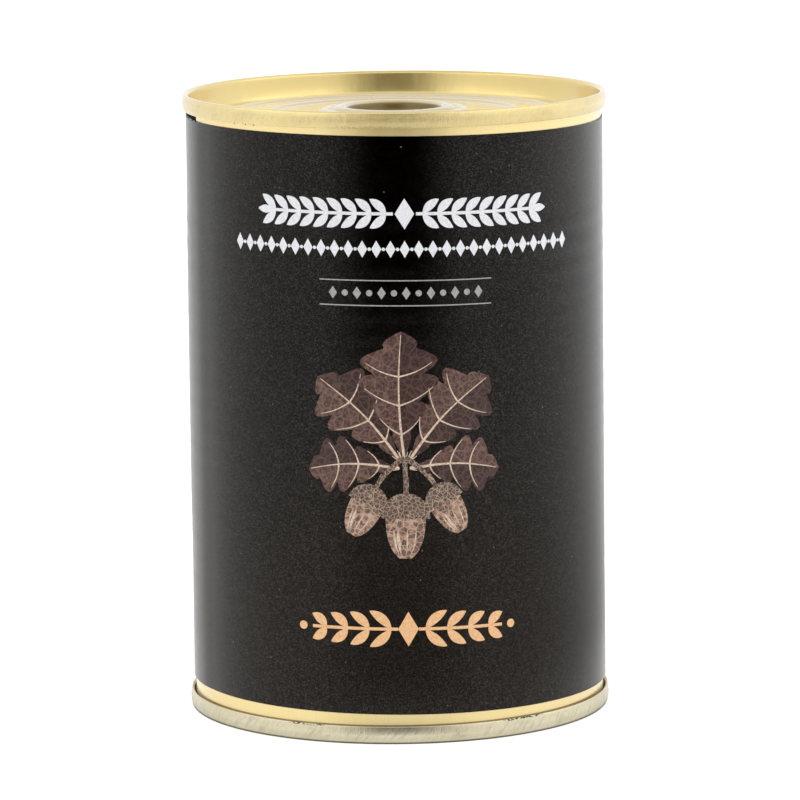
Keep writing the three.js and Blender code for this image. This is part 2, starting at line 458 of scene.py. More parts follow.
# ---- Finishes ----


@dataclass(frozen=True)
class Scuffs:
    """Wear from the seaming rolls and from handling on the outer wall of a seam, and painted shade in the
    cleft behind its free edge.
    """

    radius: float  # of the wall, in millimetres
    edge: float  # height of the free edge, where the rolls left chips
    chipped: tuple[Point, ...]  # where it is chipped, in degrees from the front
    chips: float = 1.0  # how dark they are
    roughness: float = 0.5
    grain: float = 0.05  # depth of the upright lines, in millimetres
    streaks: float = 0.06  # how much the leaning streaks darken it
    scratches: float = 0.22  # the same for the hair scratches
    smudges: float = 0.08
    lean: float = math.radians(-40)  # of the scratches and streaks
    stretch: float = 6  # how much longer than wide they are
    dirt: Colour = srgb(96, 90, 66)
    chip: Colour = srgb(44, 36, 24)
    shade: Colour = srgb(54, 42, 26)  # painted shade in the cleft behind the edge
    cleft: Point = (0.95, 0.68)  # its inner and outer side, in from the wall
    hair_scale: float = 1500
    hair_width: Point = (0.004, 0.02)
    grain_scale: float = 6000
    patch_cloud: Cloud = Cloud(160, 2, 0.5, 0.62)  # where the hair scratches are
    smudge_cloud: Cloud = Cloud(210, 4, 0.5, 0.7)
    streak_cloud: Cloud = Cloud(1300, 3, 0.46, 0.68)
    chip_cloud: Cloud = Cloud(1500, 2, 0.46, 0.54)

    def wear(self, g: Graph, colour: Value, roughness: Value, normal: Value) -> tuple[Value, Value, Value]:
        """Adds the wear, and the painted shade in the cleft, to a plate's finish.

        Args:
            g: the finish's graph.
            colour: the plain plate's colour.
            roughness: its roughness.
            normal: its normal.

        Returns:
            The worn and shaded colour, roughness and normal.
        """
        outside = g.ramp_mm(g.radius(), self.radius - 0.25, self.radius - 0.02)
        wall = g.unrolled(self.radius * MM)
        turned = {"Vector": wall, "Rotation": (0, 0, self.lean), "Scale": (1, self.stretch, 1)}
        leaning = g.add("ShaderNodeMapping", turned, vector_type="TEXTURE").outputs[0]
        hair = g.math("ABSOLUTE", g.math("SUBTRACT", g.noise(leaning, self.hair_scale, 1, 0.4), 0.5))
        patchy = g.cloud(wall, self.patch_cloud)
        scratched = g.product(g.ramp(hair, *self.hair_width, 1, 0), g.product(patchy, outside))
        smudged = g.product(g.cloud(g.stretched(1, 1, 2.5), self.smudge_cloud), outside)
        streaked = g.product(g.cloud(leaning, self.streak_cloud), outside)
        worn = g.total(g.product(scratched, self.scratches), g.product(smudged, self.smudges),
                       g.product(streaked, self.streaks))
        colour = g.blend(worn, colour, self.dirt)
        colour = g.blend(self._chips(g, wall), colour, self.chip)
        # painted shade: darkens the cleft between the seam's free edge and the wall behind it
        inner, outer = self.cleft
        cleft = g.product(g.between_mm(g.z, self.edge - 0.6, self.edge + 0.6, 0.1),
                          g.between_mm(g.radius(), self.radius - inner, self.radius - outer, 0.06))
        colour = g.blend(cleft, colour, self.shade)
        grain = g.product(g.noise(g.stretched(1, 1, 0.05), self.grain_scale, 3), outside)
        normal = g.bump(scratched, -0.4, 0.015, g.bump(grain, 1.0, self.grain, normal))
        return colour, g.mix(outside, roughness, self.roughness), normal

    def _chips(self, g: Graph, wall: Value) -> Value:
        """Dark specks in a line along the free edge.

        Args:
            g: the finish's graph.
            wall: the seam's wall laid flat.

        Returns:
            Where they are, as a mask.
        """
        flat = g.add("ShaderNodeMapping", {"Vector": wall, "Scale": (1, 2.2, 1)}).outputs[0]
        specks = g.cloud(flat, self.chip_cloud)
        line = g.between_mm(g.z, self.edge - 0.16, self.edge + 0.16, 0.06)
        azimuth = g.azimuth()
        shown: Value = 0.0
        for start, end in self.chipped:
            span = g.between(azimuth, *arc(start, end), math.radians(2))
            shown = g.math("MAXIMUM", shown, span)
        near = g.ramp_mm(g.radius(), self.radius - 0.5, self.radius - 0.3)
        return g.product(g.product(specks, line), g.product(shown, near, self.chips))


@dataclass(frozen=True)
class Tinplate:
    """Rolled and pressed tinplate, bare or under a clear gold lacquer."""

    name: str
    light: Colour
    dark: Colour
    roughness: float
    coat: float
    metallic: float = 1.0
    scuffs: Union[Scuffs, None] = None
    rings: tuple[tuple[float, Colour], ...] = ()  # other tones of the lacquer, inside each radius in turn
    well: Union[tuple[float, float, Colour], None] = None  # radius and top of the sunk well, and the colour of the painted shade in it
    well_roughness: float = 0.6
    specks: tuple[Point, ...] = ()  # azimuth in degrees and height of single dark specks
    speck: Colour = srgb(28, 24, 20)
    speck_size: Point = (0.08, 0.17)  # radius of its dark middle, and of the whole
    speck_wall: float = 0.0372  # radius of the wall that they are on, in metres
    seat: float = 0.0  # height of the seam's edge that the wall stands in, where it goes into shade
    seat_shade: Colour = srgb(92, 68, 30)
    line_scale: float = 5200
    line_depth: float = 0.012
    broad_scale: float = 420
    broad_depth: float = 0.1
    cloud_scale: float = 90

    def material(self) -> bpy.types.Material:
        """Builds it: fine upright rolling lines, cloudy tone, painted shade in a sunk well and where the wall
        stands in its seam, and the wear of its seam.

        Returns:
            The material.
        """
        g = Graph(self.name)
        lines = g.noise(g.stretched(1, 1, 0.05), self.line_scale, 3)
        broad = g.noise(g.stretched(1, 1, 0.12), self.broad_scale, 2)
        cloud = g.noise(g.place, self.cloud_scale, 3)
        tone = g.total(g.product(lines, 0.4), g.product(cloud, 0.6))
        colour = g.blend(g.ramp(tone, 0.35, 0.65), self.dark, self.light)
        roughness: Value = g.ramp(broad, 0.35, 0.65, self.roughness * 0.94, self.roughness * 1.06)
        for radius, tint in self.rings:
            colour = g.blend(g.ramp_mm(g.radius(), radius - 0.25, radius + 0.25, 1, 0), colour, tint)
        # painted shade: the sunk well is darkened to an olive tone
        if self.well:
            radius, top, tint = self.well
            sunk = g.product(g.ramp_mm(g.radius(), radius - 0.1, radius + 0.2, 1, 0),
                             g.ramp_mm(g.z, top - 0.2, top + 0.1, 1, 0))
            colour = g.blend(sunk, colour, tint)
            roughness = g.mix(sunk, roughness, self.well_roughness)
        if self.specks:
            colour = g.blend(self._specks(g), colour, self.speck)
        if self.seat:
            shade = g.ramp_mm(g.z, self.seat + 0.03, self.seat + 0.18, 0.75, 0)
            colour = g.blend(shade, colour, self.seat_shade)
        normal = g.bump(broad, 0.5, self.broad_depth, g.bump(lines, 0.6, self.line_depth))
        if self.scuffs:
            colour, roughness, normal = self.scuffs.wear(g, colour, roughness, normal)
        return g.finish(base_color=colour, metallic=self.metallic, roughness=roughness, normal=normal,
                        coat_weight=self.coat, coat_roughness=0.12, coat_ior=1.5)

    def _specks(self, g: Graph) -> Value:
        """The single dark specks.

        Args:
            g: the finish's graph.

        Returns:
            Where they are, as a mask.
        """
        wall = g.unrolled(1.0)
        mask: Value = 0.0
        for degrees, height in self.specks:
            apart = g.vector("SUBTRACT", wall, (math.radians(degrees), height * MM, 0)).outputs[0]
            level = g.vector("MULTIPLY", apart, (self.speck_wall, 1, 1)).outputs[0]
            away = g.vector("LENGTH", level).outputs["Value"]
            mask = g.math("MAXIMUM", mask, g.ramp_mm(away, *self.speck_size, 1, 0))
        return mask


@dataclass(frozen=True)
class SatinPaper:
    """Black printed paper under a satin varnish, with the sparkle of its fine grain."""

    name: str
    top: float  # height of the label's top edge, where it crosses the front
    skew: float  # its rise towards -X
    lap_radius: float  # what lies outside this is the outer end
    high_ink: tuple[Colour, Colour] = (srgb(1, 0, 0), srgb(5, 3, 2))
    # painted bounce light: towards the bottom the black is lighter and warmer, as if lit from the floor
    low_painted_light: tuple[Colour, Colour] = (srgb(8, 5, 2), srgb(27, 20, 12))
    shadow: Colour = srgb(2, 2, 2)  # on the inner end's corner, under the seam
    speck: Colour = srgb(96, 88, 80)
    core_and_highlight: Colour = srgb(132, 142, 158)  # the paper's white inside at the torn corner of the lap, with a painted bluish highlight
    dull: Colour = (0.183, 0.175, 0.167, 1)  # the varnish's gloss between the grains
    bright: Colour = (1, 0.95, 0.9, 1)  # and on them
    grain_scale: float = 7200
    sparkle: float = 4.0  # how few of the grains are bright
    refraction: float = 1.68
    speck_scale: float = 620
    speck_cloud: Cloud = Cloud(380, 1, 0.6, 0.66)  # where the specks are
    tear_cloud: Cloud = Cloud(900, 2, 0.42, 0.55)
    sheen_cloud: Cloud = Cloud(700, 3, 0.3, 0.7)
    sheen: Point = (0.16, 0.2)  # the least and the most roughness

    def material(self) -> bpy.types.Material:
        """Builds it: warmer black towards the bottom from painted bounce light, grain, dust, a painted
        highlight on the lap's torn paper core, and painted shadow on the inner end's corner.

        Returns:
            The material.
        """
        g = Graph(self.name)
        light = g.flecks(self.grain_scale)
        high = g.blend(light, *self.high_ink)
        low = g.blend(light, *self.low_painted_light)
        # painted bounce light: blends from the top's black to the lighter, warmer bottom
        colour = g.blend(g.ramp(g.z, 0.01, 0.085), low, high)
        sparse = g.cloud(g.place, self.speck_cloud)
        specks = g.product(g.ramp(g.cells(self.speck_scale), 0.05, 0.12, 1, 0), sparse)
        colour = g.blend(specks, colour, self.speck)
        above = g.math("SUBTRACT", g.total(g.z, g.product(g.x, self.skew)), self.top * MM)
        outer = g.ramp_mm(g.radius(), self.lap_radius - 0.02, self.lap_radius)
        # the paper's core with a painted bluish highlight, along the outer end's torn top edge
        torn = g.product(outer, g.ramp_mm(above, -0.2, -0.05))
        ragged = g.product(torn, g.cloud(g.place, self.tear_cloud))
        colour = g.blend(ragged, colour, self.core_and_highlight)
        # painted shadow: the inner end's corner above the label's top, under the seam, is made near black and
        # matt
        bare = g.product(g.math("SUBTRACT", 1.0, outer), g.ramp_mm(above, 0.02, 0.12))
        colour = g.blend(bare, colour, self.shadow)
        sheen = g.cloud(g.place, self.sheen_cloud, *self.sheen)
        roughness = g.math("MAXIMUM", sheen, g.math("MAXIMUM", bare, torn))
        tint = g.blend(g.math("POWER", light, self.sparkle), self.dull, self.bright)
        return g.finish(base_color=colour, roughness=roughness, specular_tint=tint, ior=self.refraction)


@dataclass(frozen=True)
class PrintInk:
    """One ink of the label's print, varnished with the paper."""

    name: str
    ground: Colour
    mottle: Colour
    mottle_scale: float = 2600
    veins: Union[Colour, None] = None
    vein_scale: float = 700
    sheen_cloud: Cloud = Cloud(700, 3, 0.3, 0.7)
    sheen: Point = (0.3, 0.38)  # the least and the most roughness

    def material(self) -> bpy.types.Material:
        """Builds it: a mottled ground and, for the drawn motifs, a net of pale veins.

        Returns:
            The material.
        """
        g = Graph(self.name)
        mottled = g.cloud(g.place, Cloud(self.mottle_scale, 4, 0.4, 0.68))
        colour = g.blend(mottled, self.ground, self.mottle)
        if self.veins:
            net = g.cells(self.vein_scale, "DISTANCE_TO_EDGE")
            fine = g.cells(self.vein_scale * 2.6, "DISTANCE_TO_EDGE")
            vein = g.math("MAXIMUM", g.ramp(net, 0.02, 0.09, 0.6, 0), g.ramp(fine, 0.02, 0.12, 0.25, 0))
            colour = g.blend(vein, colour, self.veins)
        roughness = g.cloud(g.place, self.sheen_cloud, *self.sheen)
        return g.finish(base_color=colour, roughness=roughness, ior=1.4)


@dataclass(frozen=True)
class Filling:
    """A finish for what is sealed in the tin: mottled, rough or wet."""

    name: str
    ground: Colour
    mottle: Colour
    scale: float
    roughness: float
    relief: float

    def material(self) -> bpy.types.Material:
        """Builds it: cells of two tones with a bump of the same cells.

        Returns:
            The material.
        """
        g = Graph(self.name)
        cells = g.cells(self.scale)
        cloud = g.cloud(g.place, Cloud(self.scale / 3, 4, 0.3, 0.7), 0.4)
        colour = g.blend(g.product(g.ramp(cells, 0.1, 0.7), cloud), self.ground, self.mottle)
        normal = g.bump(cells, 0.8, self.relief)
        return g.finish(base_color=colour, roughness=self.roughness, normal=normal)


# ---- The tin ----


@dataclass(frozen=True)
class Plate:
    """The tinplate and the layers of its double seams, in millimetres."""

    thickness: float = 0.21
    gap: float = 0.06
    seam_radius: float = 38.2
    body_radius: float = 37.2
    height: float = 111.8
    top_seam: float = 2.9
    bottom_seam: float = 3.2
    bulge: float = 0.11  # how far the seam's outer wall is crowned
    segments: int = 200

    @property
    def layer(self) -> float:
        """From one layer of a seam to the next."""
        return self.thickness + self.gap

    @property
    def cover_wall(self) -> float:
        """Middle of a seam's outermost layer."""
        return self.seam_radius - self.thickness / 2

    @property
    def body_hook(self) -> float:
        """Middle of the second layer, the body's hook."""
        return self.cover_wall - self.layer

    @property
    def cover_hook(self) -> float:
        """Middle of the third layer, the end's hook."""
        return self.body_hook - self.layer

    @property
    def body_neck(self) -> float:
        """Middle of the fourth layer, the body's neck."""
        return self.cover_hook - self.layer

    @property
    def chuck_wall(self) -> float:
        """Middle of the innermost layer, the end's chuck wall."""
        return self.body_neck - self.layer

    def seamed(self, length: float) -> list[Point]:
        """The end's plate in a seam: over the round crest and down to the tip of its hook.

        Args:
            length: of the seam, along the tin's axis.

        Returns:
            [radius, depth below the crest] control points.
        """
        crest, foot = self.thickness / 2, length - self.thickness / 2
        middle = (self.chuck_wall + self.cover_wall) / 2
        edge = self.cover_wall - self.bulge
        return [
            (self.chuck_wall - 0.05, 1.3), (self.chuck_wall, 0.8), (self.chuck_wall + 0.06, 0.4),
            (middle - 0.16, crest), (middle + 0.2, crest), (self.cover_wall - 0.17, 0.27), (edge, 0.62),
            (self.cover_wall, 1.3), (self.cover_wall, length - 1.4), (edge, foot - 0.3),
            (edge - 0.06, foot), (self.body_hook + 0.06, foot), (self.body_hook - 0.08, foot - 0.2),
            (self.cover_hook + 0.02, foot - 0.4), (self.cover_hook, foot - 0.7), (self.cover_hook, 1.3),
        ]

    def neck(self, length: float, flare: float) -> list[Point]:
        """The body's plate in a seam, from the plain wall to the tip of its hook.

        Args:
            length: of the seam, along the tin's axis.
            flare: how far the wall widens towards it.

        Returns:
            [radius, depth below the crest] control points.
        """
        wall = self.body_radius - self.thickness / 2
        bend = 1.5 * self.thickness + 2 * self.gap
        return [
            (wall, length + 2.4), (wall, length + 1.7), (wall + flare, length + 0.2),
            (wall + flare, length - 0.1), (self.body_neck, length - 0.6), (self.body_neck, length - 1.0),
            (self.body_neck, bend + 0.2), (self.body_neck + 0.1, bend), (self.body_hook - 0.1, bend),
            (self.body_hook, bend + 0.2), (self.body_hook, length - 0.75),
        ]


@dataclass(frozen=True)
class Ends:
    """The two ends: pressed discs whose rims are rolled into the seams.

    Their profiles are [radius, depth below the seam's crest] points along the middle of the plate.
    """

    plate: Plate
    panel: float = 4.06  # depth of the flat panel
    panel_edge: float = 35.6  # radius at which its tone changes to the chuck wall's
    seam_edge: float = 37.25  # and the chuck wall's to the seam's
    ring_rise: float = 0.42
    countersink: float = 4.62
    inner_ring: float = 23.1
    outer_ring: float = 29.9
    ring_width: float = 4.4
    well_radius: float = 8.5
    well_depth: float = 4.62
    well_mouth: float = 3.0  # depth at which its painted olive shade starts
    bare_centre: float = 18.0  # radius of the bottom end's plain middle
    seam_tone: tuple[Colour, Colour] = (srgb(238, 218, 154), srgb(230, 208, 142))
    chuck_tone: Colour = srgb(236, 212, 138)
    panel_tone: Colour = srgb(213, 195, 147)
    # painted shade in the sunk well
    well_painted_shade: Colour = srgb(132, 109, 50)
    bare_tone: tuple[Colour, Colour] = (srgb(228, 219, 190), srgb(218, 208, 176))

    def _ring(self, radius: float) -> list[Point]:
        """A raised expansion ring of the panel: a gentle round swell.

        Args:
            radius: of its crest.

        Returns:
            Its control points.
        """
        half = self.ring_width / 2
        top = self.panel - self.ring_rise
        return [
            (radius - half, self.panel), (radius - 0.6 * half, self.panel), (radius - 0.25 * half, top),
            (radius + 0.25 * half, top), (radius + 0.6 * half, self.panel), (radius + half, self.panel),
        ]

    def _rim(self, length: float) -> list[Point]:
        """The countersink, the chuck wall and the seam.

        Args:
            length: of the seam, along the tin's axis.

        Returns:
            Their control points.
        """
        sink = self.countersink
        return [
            (32.6, self.panel + 0.06), (33.5, self.panel + 0.2), (34.1, sink - 0.04), (34.8, sink),
            (35.5, sink), (36.1, sink - 0.14), (36.42, sink - 0.7), (36.62, 3.1), (36.78, 2.4),
            *self.plate.seamed(length),
        ]

    def _centre(self) -> list[Point]:
        """The sunk well in the middle, the raised collar round it and the collar's shoulder.

        Returns:
            Their control points.
        """
        panel, well, depth = self.panel, self.well_radius, self.well_depth
        return [
            (0, depth), (well - 1.6, depth), (well - 0.6, 4.6), (well - 0.22, 4.35), (well - 0.1, 3.75),
            (well, 3.25), (well + 0.4, 2.95), (well + 0.9, 2.74), (well + 1.5, 2.7), (well + 2.1, 2.76),
            (11.05, 3.06), (11.25, 3.42), (11.5, 3.36), (11.7, 3.16), (12.3, 3.12), (13.0, 3.16),
            (13.5, 3.5), (14.0, panel - 0.06), (14.8, panel),
        ]

    def build(self) -> list[bpy.types.Object]:
        """Makes the gold end at the top and the plain end at the bottom.

        Returns:
            Both.
        """
        plate = self.plate
        rings = self._ring(self.inner_ring) + self._ring(self.outer_ring)
        top = thinned(softened(self._centre() + rings + self._rim(plate.top_seam)))
        top[:, 1] = plate.height - top[:, 1]
        centre = [(0, self.panel), (self.bare_centre, self.panel)]
        low = thinned(softened([*centre, *rings, *self._rim(plate.bottom_seam)]))
        gold_marks = Scuffs(plate.seam_radius, plate.height - plate.top_seam + 0.22, ((-17, 3),),
                            chips=0.32, roughness=0.31, grain=0.09)
        tones = ((self.seam_edge, self.chuck_tone), (self.panel_edge, self.panel_tone))
        well = (self.well_radius + 0.2, plate.height - self.well_mouth, self.well_painted_shade)
        gold = Tinplate("gold_end", *self.seam_tone, roughness=0.25, coat=1.0, metallic=0.75,
                        scuffs=gold_marks, rings=tones, well=well)
        bare_marks = Scuffs(plate.seam_radius, plate.bottom_seam - 0.1, ((-31, -21), (29, 41)),
                            roughness=0.25, grain=0.035, streaks=0.17)
        bare = Tinplate("bare_end", *self.bare_tone, roughness=0.3, coat=0.0, scuffs=bare_marks)
        made = []
        for name, line, finish, slot in (
            ("top_end_plate", top, gold, Slot.GOLD),
            ("bottom_end_plate", low, bare, Slot.TINPLATE),
        ):
            outline = both_faces(line, plate.thickness)
            outline[[0, -1], 0] = 0
            piece = revolved(name, outline, plate.segments)
            dress(piece, finish.material(), slot, name.removesuffix("_plate"))
            made.append(piece)
        return made


@dataclass(frozen=True)
class Body:
    """The tin's tube: a plain wall with rolled ribs, necked and hooked into both seams."""

    plate: Plate
    ribs: int = 17
    rib_pitch: float = 4.06
    rib_depth: float = 0.45
    ribs_middle: float = 58.1
    flare: float = 0.13
    tone: tuple[Colour, Colour] = (srgb(251, 229, 163), srgb(247, 222, 153))
    specks: tuple[Point, ...] = ((-48.6, 108.72), (-44.2, 108.7), (-41.1, 108.68))
    wall_steps: int = 260  # along the plain wall, before the ones that aren't needed go

    @property
    def first_rib(self) -> float:
        """Height of the lowest rib's valley."""
        return self.ribs_middle - self.rib_pitch * (self.ribs - 1) / 2

    def sag(self, height: np.ndarray) -> np.ndarray:
        """How deep the ribs are.

        Args:
            height: on the tin.

        Returns:
            0 at a crest, and up to 1 in a valley.
        """
        phase = (height - self.first_rib) / self.rib_pitch
        past = smoothstep(self.ribs - 0.75, self.ribs - 0.25, phase)
        inside = smoothstep(-0.75, -0.25, phase) * (1 - past)
        return inside * (0.5 + 0.5 * np.cos(TURN * phase))

    def build(self) -> bpy.types.Object:
        """Makes the tube from its hook in the bottom seam to its hook in the top one.

        Returns:
            The tube.
        """
        plate = self.plate
        foot = softened(plate.neck(plate.bottom_seam, 0.0))[::-1]
        head = softened(plate.neck(plate.top_seam, self.flare))
        head[:, 1] = plate.height - head[:, 1]
        heights = np.linspace(foot[-1, 1], head[0, 1], self.wall_steps)[1:-1]
        wall = plate.body_radius - plate.thickness / 2 - self.rib_depth * self.sag(heights)
        line = thinned(np.concatenate([foot, np.stack([wall, heights], 1), head]), 6)
        piece = revolved("body_tube", both_faces(line, plate.thickness), plate.segments)
        finish = Tinplate("gold_body", *self.tone, roughness=0.32, coat=1.0, metallic=0.66,
                          specks=self.specks, seat=plate.bottom_seam)
        dress(piece, finish.material(), Slot.GOLD, "can_body")
        return piece


@dataclass(frozen=True)
class Label:
    """The paper label: one turn of paper and a lap, slightly out of square.

    It is wound from its inner end towards -X, round the back and over the inner end again. The inner
    end's top corner stands up above the rest, and the outer end bulges a little where it isn't glued.
    """

    body: Body
    paper: float = 0.12
    play: float = 0.03  # between the layers
    bottom: float = 5.23
    top: float = 107.5
    skew: float = 0.011  # rise per millimetre towards -X
    start: float = math.radians(-70.7)  # azimuth of the inner end
    lap: float = math.radians(25.7)  # how far the outer end reaches past it
    climb: float = math.radians(8)  # the turn over which the outer layer rises onto the inner end
    rise: float = 0.75  # of the inner end's top corner
    rise_angle: float = math.radians(36)
    creep: float = 0.75  # how far the outer end has crept up
    full_share: float = 0.75  # of the lap, where the outer end has crept up and stands off in full
    bulge: float = 0.11  # of the outer end, below the crease across it
    loose_foot: Point = (28, 40)  # heights between which it comes loose
    loose_top: Point = (88, 94)  # and between which it lies flat again
    crease: Point = (84.7, 3.8)  # its height at the inner end, and its rise from there to the outer one
    crease_width: float = 0.8
    dent: float = 0.13
    slack: float = 0.3  # how far the paper hangs loose at the bottom on the right
    rib_show: float = 0.045  # how deep the ribs show through
    columns: int = 260
    rows: int = 140
    crease_rows: tuple[float, float, int] = (0.745, 0.845, 36)  # more rows between two shares of the height

    @property
    def plain_radius(self) -> float:
        """Outside of the first turn, where nothing draws it in."""
        return self.body.plate.body_radius + self.play + self.paper

    def radius(self, azimuth: np.ndarray, height: np.ndarray) -> np.ndarray:
        """The first turn's outside: drawn in a little over each rib's valley, unevenly round the tin.

        Args:
            azimuth: from the front, towards +X.
            height: on the label.

        Returns:
            Its radius.
        """
        uneven = 0.65 + 0.2 * np.sin(2 * azimuth + 0.06 * height) + 0.15 * np.sin(5 * azimuth - 0.11 * height)
        wander = 0.012 * np.sin(3 * azimuth + 0.09 * height) + 0.008 * np.sin(7 * azimuth - 0.05 * height)
        right = np.clip(np.sin(azimuth), 0, 1) ** 4
        below = 1 - smoothstep(40, 110, height)
        foot = 1 - smoothstep(8, 28, height)
        loose = self.slack * right * (0.35 + 0.3 * below + 0.35 * foot)
        return self.plain_radius - self.rib_show * uneven * self.body.sag(height) + wander + loose

    def _bulge(self, past: np.ndarray, height: np.ndarray) -> np.ndarray:
        """How far the outer end stands off: loose in the middle, with a crease above that.

        Args:
            past: how far it is past the inner end, as an angle.
            height: on the label.

        Returns:
            The distance from the layer under it.
        """
        share = past / (self.full_share * self.lap)
        free = smoothstep(*self.loose_foot, height) * (1 - smoothstep(*self.loose_top, height))
        loose = free * smoothstep(0, 1, share)
        low, rise = self.crease
        away = (height - low - rise * share ** 2) / self.crease_width
        dent = np.exp(-away ** 2) * smoothstep(0.1, 0.9, share)
        return self.bulge * loose - self.dent * dent * loose

    def place(self, azimuth: np.ndarray, up: np.ndarray, proud: float = 0.0) -> np.ndarray:
        """Where a point of the front of the label is.

        Args:
            azimuth: from the front, towards +X.
            up: height on the label, before its skew.
            proud: how far it stands off the paper.

        Returns:
            Its coordinates, in millimetres.
        """
        radius = self.radius(azimuth, up) + proud
        height = up - self.skew * radius * np.sin(azimuth)
        return np.stack([radius * np.sin(azimuth), -radius * np.cos(azimuth), height], -1)

    def build(self) -> bpy.types.Object:
        """Makes the wound strip, its outer end over its inner end.

        Returns:
            The label.
        """
        wound = np.linspace(TURN + self.lap, 0, self.columns)[None, :]
        shares = [np.linspace(0, 1, self.rows), np.linspace(*self.crease_rows)]
        share = np.sort(np.concatenate(shares))[:, None]
        past = np.clip(wound - TURN, 0, None)
        over = smoothstep(TURN - self.climb, TURN, wound)
        crept = self.creep * np.clip(past / (self.full_share * self.lap), 0, 1)
        rise = self.rise * (1 - smoothstep(0, self.rise_angle, wound)) + crept
        up = self.bottom + share * (self.top - self.bottom) + rise * smoothstep(0.5, 1, share)
        azimuth = np.broadcast_to(self.start - wound, up.shape)
        radius = self.radius(azimuth, up) + over * (self.paper + self.play) + self._bulge(past, up)
        height = up - self.skew * radius * np.sin(azimuth)
        across = np.stack([np.sin(azimuth), -np.cos(azimuth)], -1)
        outer = np.concatenate([across * radius[..., None], height[..., None]], -1)
        inner = np.concatenate([across * (radius - self.paper)[..., None], height[..., None]], -1)
        piece = mesh_object("label_paper", *slab(outer, inner))
        finish = SatinPaper("label_satin_black", self.top, self.skew, self.plain_radius + 0.1)
        dress(piece, finish.material(), Slot.PAPER, "paper_label")
        return piece


# ---- The label's print ----


CREAM = srgb(206, 184, 160)  # the net of pale veins on the acorns


def heading(angle: float) -> tuple[np.ndarray, np.ndarray]:
    """The unit vectors along a direction, given in degrees from level, and to its left."""
    a = math.radians(angle)
    return np.array([math.cos(a), math.sin(a)]), np.array([-math.sin(a), math.cos(a)])


@dataclass
class Stencil:
    """Flat shapes of one ink on the unrolled label: across from the print's middle, and up."""

    name: str
    level: int = 0  # of the next shape, where shapes lie over each other
    aside: float = 1.6  # from the front's middle to the print's
    strips: list[tuple[int, np.ndarray]] = field(default_factory=list)

    def strip(self, left: np.ndarray, right: np.ndarray, across: int = 2) -> None:
        """Adds the band between two edges of as many points each, spanned by some points across."""
        t = np.linspace(0, 1, across)[None, :, None]
        self.strips.append((self.level, left[:, None, :] * (1 - t) + right[:, None, :] * t))

    def ribbon(self, line: np.ndarray, widths: np.ndarray, across: int = 2) -> None:
        """Adds a stroke along a line.

        Args:
            line: its middle.
            widths: its width at each point.
            across: how many points span it.
        """
        along = np.gradient(line, axis=0)
        along /= np.linalg.norm(along, axis=1)[:, None] + 1e-12
        side = np.stack([-along[:, 1], along[:, 0]], 1) * widths[:, None] / 2
        self.strip(line + side, line - side, across)

    def rule(self, middle: Point, length: float, width: float) -> None:
        """Adds a level line, in short steps so that it bends with the label.

        Args:
            middle: of the line.
            length: across the label.
            width: its height.
        """
        steps = max(2, int(length / RULE_STEP) + 1)
        x = middle[0] + np.linspace(-length / 2, length / 2, steps)
        self.ribbon(np.stack([x, np.full(steps, middle[1])], 1), np.full(steps, width))

    def almond(self, foot: Point, angle: float, length: float, width: float, bend: float = 0.0) -> None:
        """Adds a leaflet, pointed at both ends.

        Args:
            foot: where it grows from.
            angle: its direction, in degrees from level.
            length: from foot to tip.
            width: at its widest.
            bend: how far its middle bows to its left.
        """
        t = np.linspace(0, 1, 13)
        along, aside = heading(angle)
        line = np.array(foot) + t[:, None] * length * along + (bend * np.sin(math.pi * t))[:, None] * aside
        self.ribbon(line, width * np.sin(math.pi * t) ** 0.8 + 0.01, 3)

    def disc(self, middle: Point, radius: float) -> None:
        """Adds a round dot."""
        t = np.linspace(-math.pi / 2, math.pi / 2, 13)
        self._upright(middle, radius * np.cos(t), radius * np.sin(t))

    def diamond(self, middle: Point, width: float, height: float) -> None:
        """Adds a lozenge, as wide and high as that from corner to corner."""
        t = np.linspace(-1, 1, 9)
        self._upright(middle, width / 2 * (1 - np.abs(t)), height / 2 * t)

    def _upright(self, middle: Point, half: np.ndarray, up: np.ndarray) -> None:
        """Adds a shape with an upright axis of symmetry.

        Args:
            middle: where it stands.
            half: half of its width at each point of the axis.
            up: how far each point is above the middle.
        """
        level = np.zeros(len(up))
        side = np.stack([half + POINTED, level], 1)
        line = np.array(middle) + np.stack([level, up], 1)
        self.strip(line - side, line + side, 3)

    def build(self, label: Label, proud: float, sunk: float = 0.04, step: float = 0.003) -> bpy.types.Object:
        """Wraps the shapes on the label as thin closed slabs whose backs lie in the paper.

        Args:
            label: the paper.
            proud: how far the lowest shapes stand off it.
            sunk: how far all reach into it.
            step: from one level to the next.

        Returns:
            The piece.
        """
        points: list[np.ndarray] = []
        faces: list[Face] = []
        count = 0
        flat_radius = label.body.plate.body_radius
        for level, strip in self.strips:
            azimuth, up = (strip[..., 0] + self.aside) / flat_radius, strip[..., 1]
            if self._turned(strip):
                azimuth, up = azimuth[:, ::-1], up[:, ::-1]
            front = label.place(azimuth, up, proud + level * step)
            made, quads = slab(front, label.place(azimuth, up, -sunk))
            points.append(made)
            faces.extend(tuple(count + corner for corner in quad) for quad in quads)
            count += len(made)
        return mesh_object(self.name, np.concatenate(points), faces)

    @staticmethod
    def _turned(strip: np.ndarray) -> bool:
        """Whether a strip's columns run to the left of its rows, so that its faces would look inwards.

        Args:
            strip: rows by columns of points.

        Returns:
            True if they do.
        """
        across = strip[len(strip) // 2, -1] - strip[len(strip) // 2, 0]
        along = strip[-1, 0] - strip[0, 0]
        return across[0] * along[1] - across[1] * along[0] < 0


